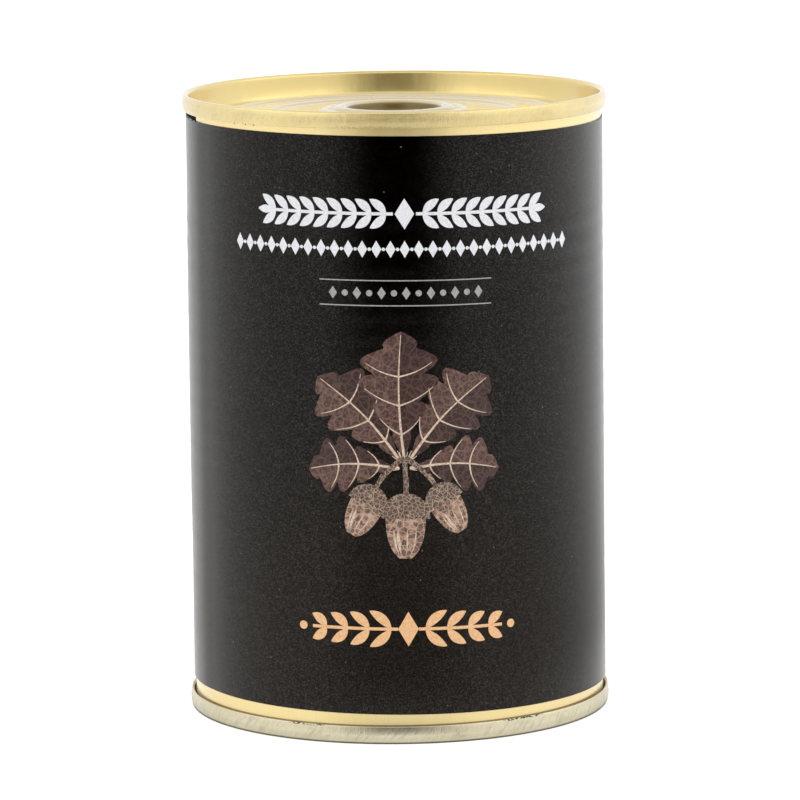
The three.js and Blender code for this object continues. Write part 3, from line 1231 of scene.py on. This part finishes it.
@dataclass
class Oak:
    """A cluster of oak leaves and acorns, which lie over each other in the order they are drawn in.

    Feet are across and up from the joint that all grow from, and directions are in degrees from level.
    """

    joint: Point = (-0.4, 50.4)
    leaf_pairs: tuple[tuple[float, ...], ...] = (  # foot, turn from upright, length and bow
        (1.0, -1.2, 92, 16.2, 1.0),
        (0.8, 0.2, 45, 20.5, 1.2),
    )
    middle_leaf: tuple[float, float, float] = (91, 23.0, 0.7)  # direction, length and bow
    acorns: tuple[tuple[float, ...], ...] = (  # foot, direction and size
        (-4.9, -4.4, -118, 0.98),
        (5.3, -4.2, -60, 0.96),
        (0.2, -5.6, -91, 1.16),
    )
    stalk_ends: tuple[Point, ...] = ((-5.0, -4.4), (5.4, -4.2), (0.2, -5.4))
    stalk_top: float = 0.6
    broad: float = 0.64  # a leaf's width, as a share of its length
    lobes: float = 4.5
    sweep: float = 0.5  # how far a lobe reaches forwards, as a share of its width
    level: int = 0
    shade: Stencil = field(default_factory=lambda: Stencil("print_leaf_shade"))
    blade: Stencil = field(default_factory=lambda: Stencil("print_leaf_blade"))
    veins: Stencil = field(default_factory=lambda: Stencil("print_leaf_veins"))
    nuts: Stencil = field(default_factory=lambda: Stencil("print_acorn_nuts"))
    cups: Stencil = field(default_factory=lambda: Stencil("print_acorn_cups"))
    shade_ink: PrintInk = PrintInk("ink_russet_dark", srgb(46, 30, 28), srgb(74, 50, 45), 1900,
                                   srgb(96, 72, 64), 620)
    blade_ink: PrintInk = PrintInk("ink_russet", srgb(66, 44, 40), srgb(106, 76, 68), 1900,
                                   srgb(128, 100, 88), 620)
    nut_ink: PrintInk = PrintInk("ink_nut", srgb(92, 60, 50), srgb(170, 134, 114), 900, CREAM, 900)
    cup_ink: PrintInk = PrintInk("ink_cup", srgb(54, 36, 32), srgb(112, 82, 70), 3000, CREAM, 1300)
    vein_ink: PrintInk = PrintInk("ink_cream", srgb(214, 194, 170), srgb(180, 154, 132))

    def _rise(self) -> None:
        """Puts what is drawn next over what was drawn before, with its veins on top."""
        self.level += 2
        for stencil in (self.shade, self.blade, self.nuts, self.cups):
            stencil.level = self.level
        self.veins.level = self.level + 1

    def leaf(self, foot: Point, angle: float, length: float, bow: float) -> None:
        """Draws a lobed leaf, one half of its blade in the shade.

        Args:
            foot: where its stalk ends.
            angle: its direction, in degrees from level.
            length: from foot to tip.
            bow: how far its midrib bows to its left.
        """
        self._rise()
        t = np.linspace(0, 1, 73)
        along, aside = heading(angle)
        rib = np.array(foot) + np.outer(t * length, along) + np.outer(bow * np.sin(math.pi * t), aside)
        body = np.sin(math.pi * t ** 1.5) ** 0.85
        lobed = 0.52 + 0.48 * np.abs(np.sin(math.pi * (self.lobes * t + 0.1))) ** 0.65
        half = self.broad / 2 * length * body * lobed + 0.02
        reach = np.outer(half, aside)
        ahead = np.outer(self.sweep * half * (1 - t), along)
        self.blade.strip(rib + reach + ahead, rib, 5)
        self.shade.strip(rib, rib - reach + ahead, 5)
        self.veins.ribbon(rib[:71], np.linspace(0.5, 0.12, 71))
        s = np.linspace(0, 0.86, 12)
        bend = np.outer(0.5 * np.sin(math.pi * s), -along)
        for k in range(int(self.lobes)):
            tip = int(72 * (k + 0.4) / self.lobes)
            start = rib[max(0, tip - 7)]
            for edge in (reach, -reach):
                line = start + np.outer(s, rib[tip] + edge[tip] + ahead[tip] - start)
                self.veins.ribbon(line + bend, np.linspace(0.3, 0.1, 12))

    def acorn(self, foot: Point, angle: float, size: float) -> None:
        """Draws a long nut with pale streaks in a knobbly cup on a stalk.

        Args:
            foot: where its stalk ends.
            angle: its direction, in degrees from level.
            size: 1 makes it 10 mm long.
        """
        self._rise()
        along, aside = heading(angle)
        t = np.linspace(0, 1, 31)
        line = np.array(foot) + np.outer((2.6 + 7.4 * t) * size, along)
        half = 3.05 * size * np.sqrt(np.clip(1 - (t * 0.98) ** 2.6, 0, 1)) + 0.02
        half += np.exp(-((t - 1) / 0.03) ** 2) * 0.2 * size
        self.nuts.strip(line + np.outer(half, aside), line - np.outer(half, aside), 7)
        for share, width in ((-0.62, 0.3), (-0.4, 0.55), (0.1, 0.22), (0.55, 0.22)):
            streak = line[12:28] + np.outer(share * half[12:28], aside)
            self.veins.ribbon(streak, width * size * np.sin(np.linspace(0.1, math.pi - 0.1, 16)))
        self._rise()
        line = np.array(foot) + np.outer(3.9 * t * size, along)
        half = 3.6 * size * np.sqrt(np.clip(1 - (1 - t * 0.96) ** 2.2, 0, 1)) + 0.02
        half += 0.12 * size * np.abs(np.sin(9 * math.pi * t))
        self.cups.strip(line + np.outer(half, aside), line - np.outer(half, aside), 7)
        stalk = np.array(foot) - np.outer(np.linspace(0, 2.4, 8) * size, along)
        self.cups.ribbon(stalk, np.full(8, 0.8 * size))

    def draw(self) -> list[tuple[Stencil, PrintInk]]:
        """Draws the leaves round the joint, the acorns below it, and a stalk to each.

        Returns:
            The stencils and their inks, from the lowest up.
        """
        x, y = self.joint
        for aside, up, turn, length, bow in self.leaf_pairs:
            for side in (-1, 1):
                self.leaf((x + aside * side, y + up), 90 - turn * side, length, bow * side)
        self.leaf(self.joint, *self.middle_leaf)
        for aside, up, angle, size in self.acorns:
            self.acorn((x + aside, y + up), angle, size)
        t = np.linspace(0, 1, 16)
        for aside, up in self.stalk_ends:
            line = np.stack([x + aside * t, y + self.stalk_top + (up - self.stalk_top) * t ** 1.4], 1)
            self.cups.ribbon(line, np.linspace(1.0, 0.7, 16))
        return [
            (self.shade, self.shade_ink), (self.blade, self.blade_ink), (self.nuts, self.nut_ink),
            (self.cups, self.cup_ink), (self.veins, self.vein_ink),
        ]


@dataclass(frozen=True)
class Twig:
    """A level twig of paired leaflets that grows both ways from a lozenge."""

    name: str
    height: float  # on the label
    width: float
    lozenge: Point
    line: Point  # how much shorter than an arm its line is, and how thick
    feet: Point  # of the first leaflets, from the middle, and of the last, from the arm's end
    lengths: tuple[float, ...]  # of the leaflets, in turn
    leaf_width: float
    lean: float  # of the leaflets from the line, in degrees
    bow: float  # of the leaflets
    bud: Union[tuple[float, float, float], None] = None  # distance from the end, length and width
    berry: float = 0.0  # radius of the dot at the end

    def stencil(self) -> Stencil:
        """Draws it.

        Returns:
            The stencil.
        """
        s = Stencil(self.name)
        y = self.height
        arm = self.width / 2
        shorter, thick = self.line
        first, last = self.feet
        s.diamond((0, y), *self.lozenge)
        for side in (-1, 1):
            forward = 90 - 90 * side
            s.rule((side * arm / 2, y), arm - shorter, thick)
            for foot, length in zip(np.linspace(first, arm - last, len(self.lengths)), self.lengths):
                for turn in (-side, side):
                    angle = forward + self.lean * turn
                    s.almond((side * foot, y), angle, length, self.leaf_width, self.bow * turn)
            if self.bud:
                back, length, width = self.bud
                s.almond((side * (arm - back), y), forward, length, width)
            if self.berry:
                s.disc((side * arm, y), self.berry)
        return s


@dataclass(frozen=True)
class Print:
    """The label's generic print: pale borders at the top, an oak cluster, and a copper twig below it."""

    label: Label
    garland: Twig = Twig("print_garland", height=94.0, width=54.0, lozenge=(3.4, 5.4), line=(4.0, 0.55),
                         feet=(3.2, 3.4), lengths=(3.8,) * 9, leaf_width=1.5, lean=42, bow=0.25,
                         bud=(3.0, 3.4, 1.4))
    copper: Twig = Twig("print_copper_ornament", height=20.6, width=38.0, lozenge=(3.6, 6.2),
                        line=(3.6, 0.55), feet=(3.0, 4.4), lengths=(5.0, 4.5, 4.0, 3.5), leaf_width=1.7,
                        lean=40, bow=0.35, berry=0.75)
    lozenge_height: float = 87.8
    lozenge_width: float = 64.0
    lozenges: int = 27
    lozenge: Point = (1.75, 3.0)
    lozenge_dot: float = 0.3
    rule_heights: Point = (82.3, 77.9)
    rule_length: float = 30.7
    rule_width: float = 0.2
    rule_middle: float = 0.2
    beads: int = 6  # between the rules, to each side of the middle one
    bead_pitch: float = 2.15
    bead: Point = (1.5, 2.2)
    bead_dot: float = 0.55
    proud: float = 0.012  # how far the first ink stands off the paper
    proud_step: float = 0.0005  # and how much more each next one does
    white: PrintInk = PrintInk("ink_white", srgb(228, 228, 231), srgb(212, 212, 217))
    grey: PrintInk = PrintInk("ink_grey", srgb(164, 162, 162), srgb(144, 142, 142))
    foil: PrintInk = PrintInk("ink_copper", srgb(236, 190, 142), srgb(222, 168, 118))

    def _lozenges(self) -> Stencil:
        """A row of small lozenges with a dot between each two.

        Returns:
            The stencil.
        """
        s = Stencil("print_lozenges")
        places = np.linspace(-self.lozenge_width / 2, self.lozenge_width / 2, self.lozenges)
        for x in places:
            s.diamond((x, self.lozenge_height), *self.lozenge)
        for x in places[:-1] + np.diff(places) / 2:
            s.disc((x, self.lozenge_height), self.lozenge_dot)
        return s

    def _rules(self) -> Stencil:
        """Two fine rules with a row of small lozenges and dots between them.

        Returns:
            The stencil.
        """
        s = Stencil("print_rules")
        for y in self.rule_heights:
            s.rule((self.rule_middle, y), self.rule_length, self.rule_width)
        middle = sum(self.rule_heights) / 2
        for k in range(-self.beads, self.beads + 1):
            place = (self.rule_middle + self.bead_pitch * k, middle)
            if k % 2:
                s.disc(place, self.bead_dot)
            else:
                s.diamond(place, *self.bead)
        return s

    def build(self) -> list[bpy.types.Object]:
        """Makes every printed shape, each ink a piece of its own.

        Returns:
            The pieces.
        """
        work = [
            (self.garland.stencil(), self.white), (self._lozenges(), self.white),
            (self._rules(), self.grey), *Oak().draw(), (self.copper.stencil(), self.foil),
        ]
        made = []
        inks: dict[str, bpy.types.Material] = {}
        for level, (stencil, ink) in enumerate(work):
            piece = stencil.build(self.label, self.proud + self.proud_step * level)
            if ink.name not in inks:
                inks[ink.name] = ink.material()
            dress(piece, inks[ink.name], Slot.PAPER)
            made.append(piece)
        return made


@dataclass(frozen=True)
class Contents:
    """What is sealed in the tin. The CAD solids stay, and take a finish each."""

    skin: Filling = Filling("truffle_skin", srgb(24, 17, 16), srgb(86, 62, 54), 420, 0.75, 0.5)
    juice: Filling = Filling("dark_juice", srgb(44, 24, 12), srgb(66, 38, 20), 60, 0.12, 0.01)
    lining: Filling = Filling("grey_compound", srgb(150, 147, 142), srgb(126, 122, 118), 900, 0.8, 0.02)

    def build(self) -> list[bpy.types.Object]:
        """Dresses the truffles, their juice and the seams' compound.

        Returns:
            The solids.
        """
        skin, juice, lining = (filling.material() for filling in (self.skin, self.juice, self.lining))
        made = []
        for name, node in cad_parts.items():
            if not name.startswith("truffle") and not name.endswith("compound"):
                continue
            finish = skin if name[-1].isdigit() else juice if name.endswith("juice") else lining
            node.data.materials.clear()
            node.data.materials.append(finish)
            made.append(node)
        return made


def dress(piece: bpy.types.Object, material: bpy.types.Material, slot: Slot, *nodes: str) -> None:
    """Gives a piece its material, hangs it under the root, and hides the CAD nodes that it stands for.

    Args:
        piece: the piece.
        material: its finish.
        slot: not used.
        nodes: the names of the nodes.
    """
    piece.data.materials.append(material)
    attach(piece, "root")
    if nodes:
        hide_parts(*nodes)


# ---- The studio ----


def stage_piece(
    name: str, points: Sequence[Sequence[float]], faces: Sequence[Face], finish: bpy.types.Material
) -> bpy.types.Object:
    """Adds a piece of the stage that the tin stands on.

    Args:
        name: the piece's name.
        points: its vertices, in metres.
        faces: its faces, as vertex numbers.
        finish: its material.

    Returns:
        The new object, at the origin.
    """
    mesh = bpy.data.meshes.new(name)
    mesh.from_pydata(points, [], faces)
    mesh.materials.append(finish)
    piece = bpy.data.objects.new(name, mesh)
    bpy.context.scene.collection.objects.link(piece)
    return piece


def level_square(name: str, size: float, height: float, finish: bpy.types.Material) -> bpy.types.Object:
    """Lays a level square of the stage.

    Args:
        name: the piece's name.
        size: its side, in metres.
        height: over the ground, in metres.
        finish: its material.

    Returns:
        The new object.
    """
    half = size / 2
    corners = [(-half, -half, height), (half, -half, height), (half, half, height), (-half, half, height)]
    return stage_piece(name, corners, [(0, 1, 2, 3)], finish)


@dataclass(frozen=True)
class Table:
    """What the tin's gloss sees of the table: bright beside it, dimmer and then dark before it.

    Distances are from the tin's axis, in metres, and directions go round it from the front. A step is
    where a change starts, where it ends, and its amount.
    """

    size: float = 12.0
    height: float = 0.02 * MM
    gap: Point = arc(10, 44)  # where the dim part before the tin ends, to each side
    dim_steps: tuple[Step, ...] = ((0.045, 0.1, 0.56), (0.2, 0.3, -0.3), (0.37, 0.51, 0.8))
    foot_steps: tuple[Step, ...] = ((0.0382, 0.0386, 0.15), (0.0386, 0.046, 0.84))  # what is left at the foot
    near: tuple[Point, Point] = ((0.055, 0.1), (0.1, 0.35))  # where the tin's own shade starts and ends
    shade: Step = (0, 0.05, 0.26)  # its direction at the front, and its depth there and at the right
    shade_turn: float = math.radians(80)
    glow: Step = (0.5, 1.0, 0.3)
    glow_side: Point = arc(70, 150)
    glow_soft: float = math.radians(20)

    def build(self) -> bpy.types.Object:
        """Lays the sheet of light, which only glossy rays see.

        Returns:
            The sheet.
        """
        g = Graph("table_sheen")
        away = g.radius()
        azimuth = g.azimuth()
        before = g.ramp(g.math("ABSOLUTE", azimuth), *self.gap, 1, 0)
        dimmed = g.total(*(g.ramp(away, low, high, 0, change) for low, high, change in self.dim_steps))
        open_table = g.math("SUBTRACT", 1.0, g.product(before, dimmed))
        foot = g.product(*(g.ramp(away, low, high, left) for low, high, left in self.foot_steps))
        front, least, most = self.shade
        shade = g.product(g.hump(away, *self.near), g.ramp(azimuth, front, self.shade_turn, least, most))
        start, end, glow = self.glow
        beside = g.between(azimuth, *self.glow_side, self.glow_soft)
        glowing = g.product(g.ramp(away, start, end, 0, glow), beside)
        even = g.total(g.math("SUBTRACT", 1.0, shade), glowing)
        light = g.add("ShaderNodeEmission", {"Strength": g.product(open_table, foot, even)}).outputs[0]
        output = next(n for n in g.tree.nodes if n.type == "OUTPUT_MATERIAL")
        g.tree.nodes.remove(g.shader)
        g.feed(output.inputs["Surface"], light)
        g.material.cycles.emission_sampling = "NONE"
        sheen = level_square("table_sheen", self.size, self.height, g.material)
        sheen.visible_camera = sheen.visible_diffuse = sheen.visible_shadow = False
        return sheen


@dataclass(frozen=True)
class Room:
    """Even white walls of light, brighter to the right, with a dim gap before the tin.

    Directions go round the tin from its front. A height is the sine of the elevation.
    """

    gap: Point = arc(4, 40)  # where the dim gap ends, to each side
    gap_light: float = 0.04
    gap_top: Point = (0.35, 0.7)  # the heights between which it closes
    right_light: float = 0.15  # what the right wall has more
    right_wall: tuple[Point, Point] = (arc(50, 95), arc(100, 140))  # where that starts and ends
    ceiling: Point = (0.8, 0.96)
    ceiling_light: float = 0.72
    box_light: float = 0.5  # what a soft box to each side of the gap adds
    box_inner: Point = arc(18, 45)
    box_outer: Point = arc(90, 115)
    box_level: tuple[Point, Point] = ((0.25, 0.4), (0.6, 0.75))  # the heights of its foot and of its top

    def build(self) -> bpy.types.World:
        """Lights the room.

        Returns:
            The world.
        """
        world = bpy.data.worlds.new("room")
        bpy.context.scene.world = world
        world.use_nodes = True
        g = Nodes(world.node_tree)
        g.tree.nodes.clear()
        direction = g.add("ShaderNodeTexCoord", {}).outputs["Generated"]
        x, y, z = g.add("ShaderNodeSeparateXYZ", {0: direction}).outputs
        azimuth = g.math("ARCTAN2", x, g.product(y, -1.0))
        aside = g.math("ABSOLUTE", azimuth)
        wall = g.math("MAXIMUM", g.ramp(aside, *self.gap, self.gap_light, 1), g.ramp(z, *self.gap_top))
        right = g.total(g.hump(azimuth, *self.right_wall, self.right_light), 1.0)
        ceiling = g.ramp(z, *self.ceiling, 1, self.ceiling_light)
        boxes = g.product(g.ramp(aside, *self.box_inner, 0, self.box_light), g.hump(z, *self.box_level),
                          g.ramp(aside, *self.box_outer, 1, 0))
        strength = g.product(wall, g.total(boxes, ceiling), right)
        light = g.add("ShaderNodeBackground", {"Color": WHITE, "Strength": strength}).outputs[0]
        g.add("ShaderNodeOutputWorld", {0: light})
        return world


@dataclass(frozen=True)
class Studio:
    """The pale floor, the white backdrop, the light and the camera."""

    table: Table = Table()
    room: Room = Room()
    floor_size: float = 12.0
    floor_tones: tuple[Colour, Colour] = (srgb(228, 228, 228), srgb(232, 232, 232))
    floor_glow: float = 0.55
    dome_radius: float = 5.5
    dome_steps: int = 24
    dome_rings: int = 13
    camera_distance: float = 0.935231
    camera_height: float = 0.204713
    pitch: float = math.radians(9.073)
    roll: float = math.radians(-0.589)
    yaw: float = math.radians(0.033)
    lens: float = 234.73
    sensor: float = 36.0

    def camera(self) -> bpy.types.Object:
        """Places the camera before the tin, looking slightly down on it.

        Returns:
            The camera.
        """
        level = Vector((math.cos(self.yaw), -math.sin(self.yaw), 0))
        ahead = Vector((math.sin(self.yaw) * math.cos(self.pitch), math.cos(self.yaw) * math.cos(self.pitch),
                        -math.sin(self.pitch)))
        upright = level.cross(ahead)
        right = math.cos(self.roll) * level + math.sin(self.roll) * upright
        up = math.cos(self.roll) * upright - math.sin(self.roll) * level
        data = bpy.data.cameras.new("camera")
        data.lens = self.lens
        data.sensor_width = self.sensor
        camera = bpy.data.objects.new("camera", data)
        turn = Matrix((right, up, -ahead)).transposed().to_4x4()
        camera.matrix_world = Matrix.Translation((0, -self.camera_distance, self.camera_height)) @ turn
        bpy.context.scene.collection.objects.link(camera)
        bpy.context.scene.camera = camera
        return camera

    def floor(self) -> bpy.types.Object:
        """Lays the pale floor.

        Returns:
            The floor.
        """
        g = Graph("pale_floor")
        paper = g.blend(g.noise(g.place, 40, 2), *self.floor_tones)
        finish = g.finish(base_color=paper, roughness=0.9, specular_ior_level=0.0, emission_color=WHITE,
                          emission_strength=self.floor_glow)
        floor = level_square("floor", self.floor_size, 0, finish)
        floor.visible_glossy = False
        return floor

    def backdrop(self) -> bpy.types.Object:
        """Hangs a white dome, which only the camera sees, round the whole set.

        Returns:
            The dome.
        """
        angles = np.arange(self.dome_steps) * TURN / self.dome_steps
        points = []
        for level in np.linspace(-0.5, 0.5, self.dome_rings) * math.pi:
            ring = [np.cos(level) * np.cos(angles), np.cos(level) * np.sin(angles),
                    np.full(self.dome_steps, math.sin(level))]
            points.extend((np.stack(ring, 1) * self.dome_radius).tolist())
        faces = []
        for i in range(self.dome_rings - 1):
            low, high = i * self.dome_steps, (i + 1) * self.dome_steps
            for j in range(self.dome_steps):
                after = (j + 1) % self.dome_steps
                faces.append((low + j, low + after, high + after, high + j))
        g = Graph("white_backdrop")
        finish = g.finish(base_color=BLACK, specular_ior_level=0.0, emission_color=WHITE,
                          emission_strength=1.0)
        finish.cycles.emission_sampling = "NONE"
        dome = stage_piece("backdrop", points, faces, finish)
        dome.visible_diffuse = dome.visible_glossy = dome.visible_shadow = dome.visible_transmission = False
        return dome

    def build(self) -> None:
        """Sets up everything round the tin."""
        bpy.context.scene.view_settings.view_transform = "Standard"
        self.camera()
        self.floor()
        self.table.build()
        self.backdrop()
        self.room.build()


def main() -> None:
    """Builds the tin's pieces in order, then the studio."""
    logging.basicConfig(level=logging.INFO, format="%(name)s: %(message)s")
    high = cad_box[1]
    plate = Plate(seam_radius=high.x / MM, height=high.z / MM)
    body = Body(plate)
    label = Label(body)
    for assembly in (Ends(plate), body, label, Print(label), Contents()):
        made = assembly.build()
        for piece in made if isinstance(made, list) else [made]:
            LOG.info("%s: %d faces", piece.name, len(piece.data.polygons))
    Studio().build()


if __name__ == "__main__":
    main()
